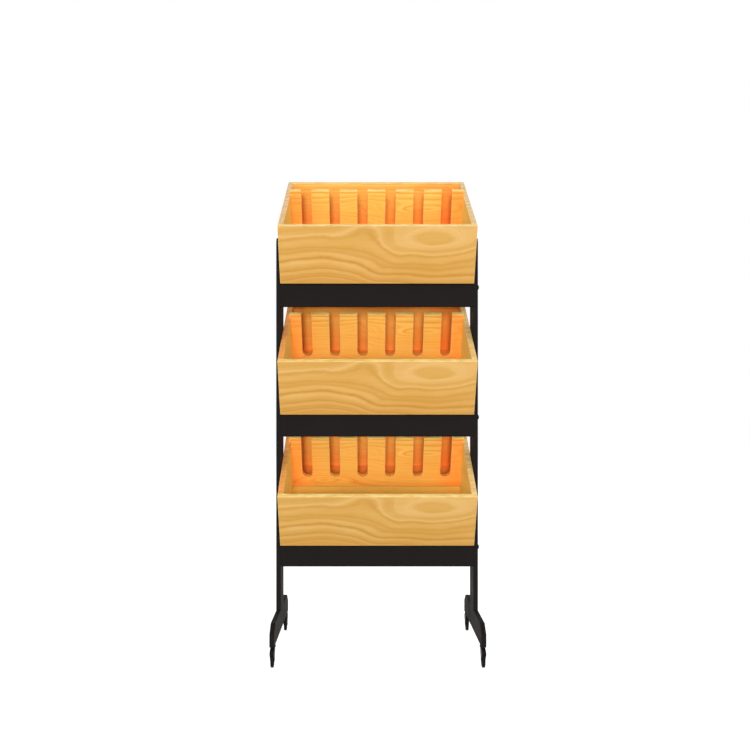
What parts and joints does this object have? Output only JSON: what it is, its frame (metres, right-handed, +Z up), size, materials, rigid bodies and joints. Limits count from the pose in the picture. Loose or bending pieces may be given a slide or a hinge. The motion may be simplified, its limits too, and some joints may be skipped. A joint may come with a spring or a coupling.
{
  "type": "wine bottle display rack",
  "caption": "Free-standing rack of tilted wooden crates with slotted neck panels, on a black frame with swivel casters.",
  "frame": {"origin": "on the floor, under the middle of the whole rack's bounding box", "axes": "+Z up, +Y to the back of the rack, +X to the right of someone in front of it"},
  "size_m": [0.5295, 0.479, 1.2735],
  "materials": {
    "crate_wood": "pale varnished softwood, satin",
    "inner_wood": "warm varnished softwood, satin",
    "frame_paint": "matt black powder coat",
    "bolt_steel": "blackened steel",
    "caster_steel": "satin black",
    "caster_wheel": "matt black nylon"
  },
  "bodies": {
    "stand": {"lower_crate_front_board": "crate_wood", "lower_crate_left_side": "crate_wood", "lower_crate_right_side": "crate_wood", "lower_crate_back_board": "inner_wood", "lower_crate_floor": "inner_wood", "lower_crate_slotted_panel": "inner_wood", "lower_front_bar": "frame_paint", "lower_rear_bar": "frame_paint", "lower_left_rail": "frame_paint", "lower_right_rail": "frame_paint", "lower_left_bar_bolt": "bolt_steel", "lower_right_bar_bolt": "bolt_steel", "middle_crate_front_board": "crate_wood", "middle_crate_left_side": "crate_wood", "middle_crate_right_side": "crate_wood", "middle_crate_back_board": "inner_wood", "middle_crate_floor": "inner_wood", "middle_crate_slotted_panel": "inner_wood", "middle_front_bar": "frame_paint", "middle_rear_bar": "frame_paint", "middle_left_rail": "frame_paint", "middle_right_rail": "frame_paint", "middle_left_bar_bolt": "bolt_steel", "middle_right_bar_bolt": "bolt_steel", "upper_crate_front_board": "crate_wood", "upper_crate_left_side": "crate_wood", "upper_crate_right_side": "crate_wood", "upper_crate_back_board": "inner_wood", "upper_crate_floor": "inner_wood", "upper_crate_slotted_panel": "inner_wood", "upper_front_bar": "frame_paint", "upper_rear_bar": "frame_paint", "upper_left_rail": "frame_paint", "upper_right_rail": "frame_paint", "upper_left_bar_bolt": "bolt_steel", "upper_right_bar_bolt": "bolt_steel", "left_post": "frame_paint", "left_foot": "frame_paint", "left_front_foot_bolt": "bolt_steel", "left_rear_foot_bolt": "bolt_steel", "right_post": "frame_paint", "right_foot": "frame_paint", "right_front_foot_bolt": "bolt_steel", "right_rear_foot_bolt": "bolt_steel", "front_left_caster_stem": "caster_steel", "front_right_caster_stem": "caster_steel", "rear_left_caster_stem": "caster_steel", "rear_right_caster_stem": "caster_steel"},
    "front_left_swivel": {"front_left_caster_fork": "caster_steel", "front_left_caster_axle": "caster_steel"},
    "front_left_wheel": {"front_left_caster_wheel": "caster_wheel"},
    "front_right_swivel": {"front_right_caster_fork": "caster_steel", "front_right_caster_axle": "caster_steel"},
    "front_right_wheel": {"front_right_caster_wheel": "caster_wheel"},
    "rear_left_swivel": {"rear_left_caster_fork": "caster_steel", "rear_left_caster_axle": "caster_steel"},
    "rear_left_wheel": {"rear_left_caster_wheel": "caster_wheel"},
    "rear_right_swivel": {"rear_right_caster_fork": "caster_steel", "rear_right_caster_axle": "caster_steel"},
    "rear_right_wheel": {"rear_right_caster_wheel": "caster_wheel"}
  },
  "joints": [
    {"name": "front_left_swivel_turn", "type": "hinge", "parent": "stand", "child": "front_left_swivel", "pos_m": [-0.258, -0.20821, 0.044], "axis": [0, 0, 1], "continuous": true},
    {"name": "front_left_wheel_spin", "type": "hinge", "parent": "front_left_swivel", "child": "front_left_wheel", "pos_m": [-0.258, -0.21821, 0.02], "axis": [1, 0, 0], "continuous": true},
    {"name": "front_right_swivel_turn", "type": "hinge", "parent": "stand", "child": "front_right_swivel", "pos_m": [0.255, -0.20821, 0.044], "axis": [0, 0, 1], "continuous": true},
    {"name": "front_right_wheel_spin", "type": "hinge", "parent": "front_right_swivel", "child": "front_right_wheel", "pos_m": [0.255, -0.21821, 0.02], "axis": [1, 0, 0], "continuous": true},
    {"name": "rear_left_swivel_turn", "type": "hinge", "parent": "stand", "child": "rear_left_swivel", "pos_m": [-0.258, 0.12979, 0.044], "axis": [0, 0, 1], "continuous": true},
    {"name": "rear_left_wheel_spin", "type": "hinge", "parent": "rear_left_swivel", "child": "rear_left_wheel", "pos_m": [-0.258, 0.13979, 0.02], "axis": [1, 0, 0], "continuous": true},
    {"name": "rear_right_swivel_turn", "type": "hinge", "parent": "stand", "child": "rear_right_swivel", "pos_m": [0.255, 0.12979, 0.044], "axis": [0, 0, 1], "continuous": true},
    {"name": "rear_right_wheel_spin", "type": "hinge", "parent": "rear_right_swivel", "child": "rear_right_wheel", "pos_m": [0.255, 0.13979, 0.02], "axis": [1, 0, 0], "continuous": true}
  ]
}
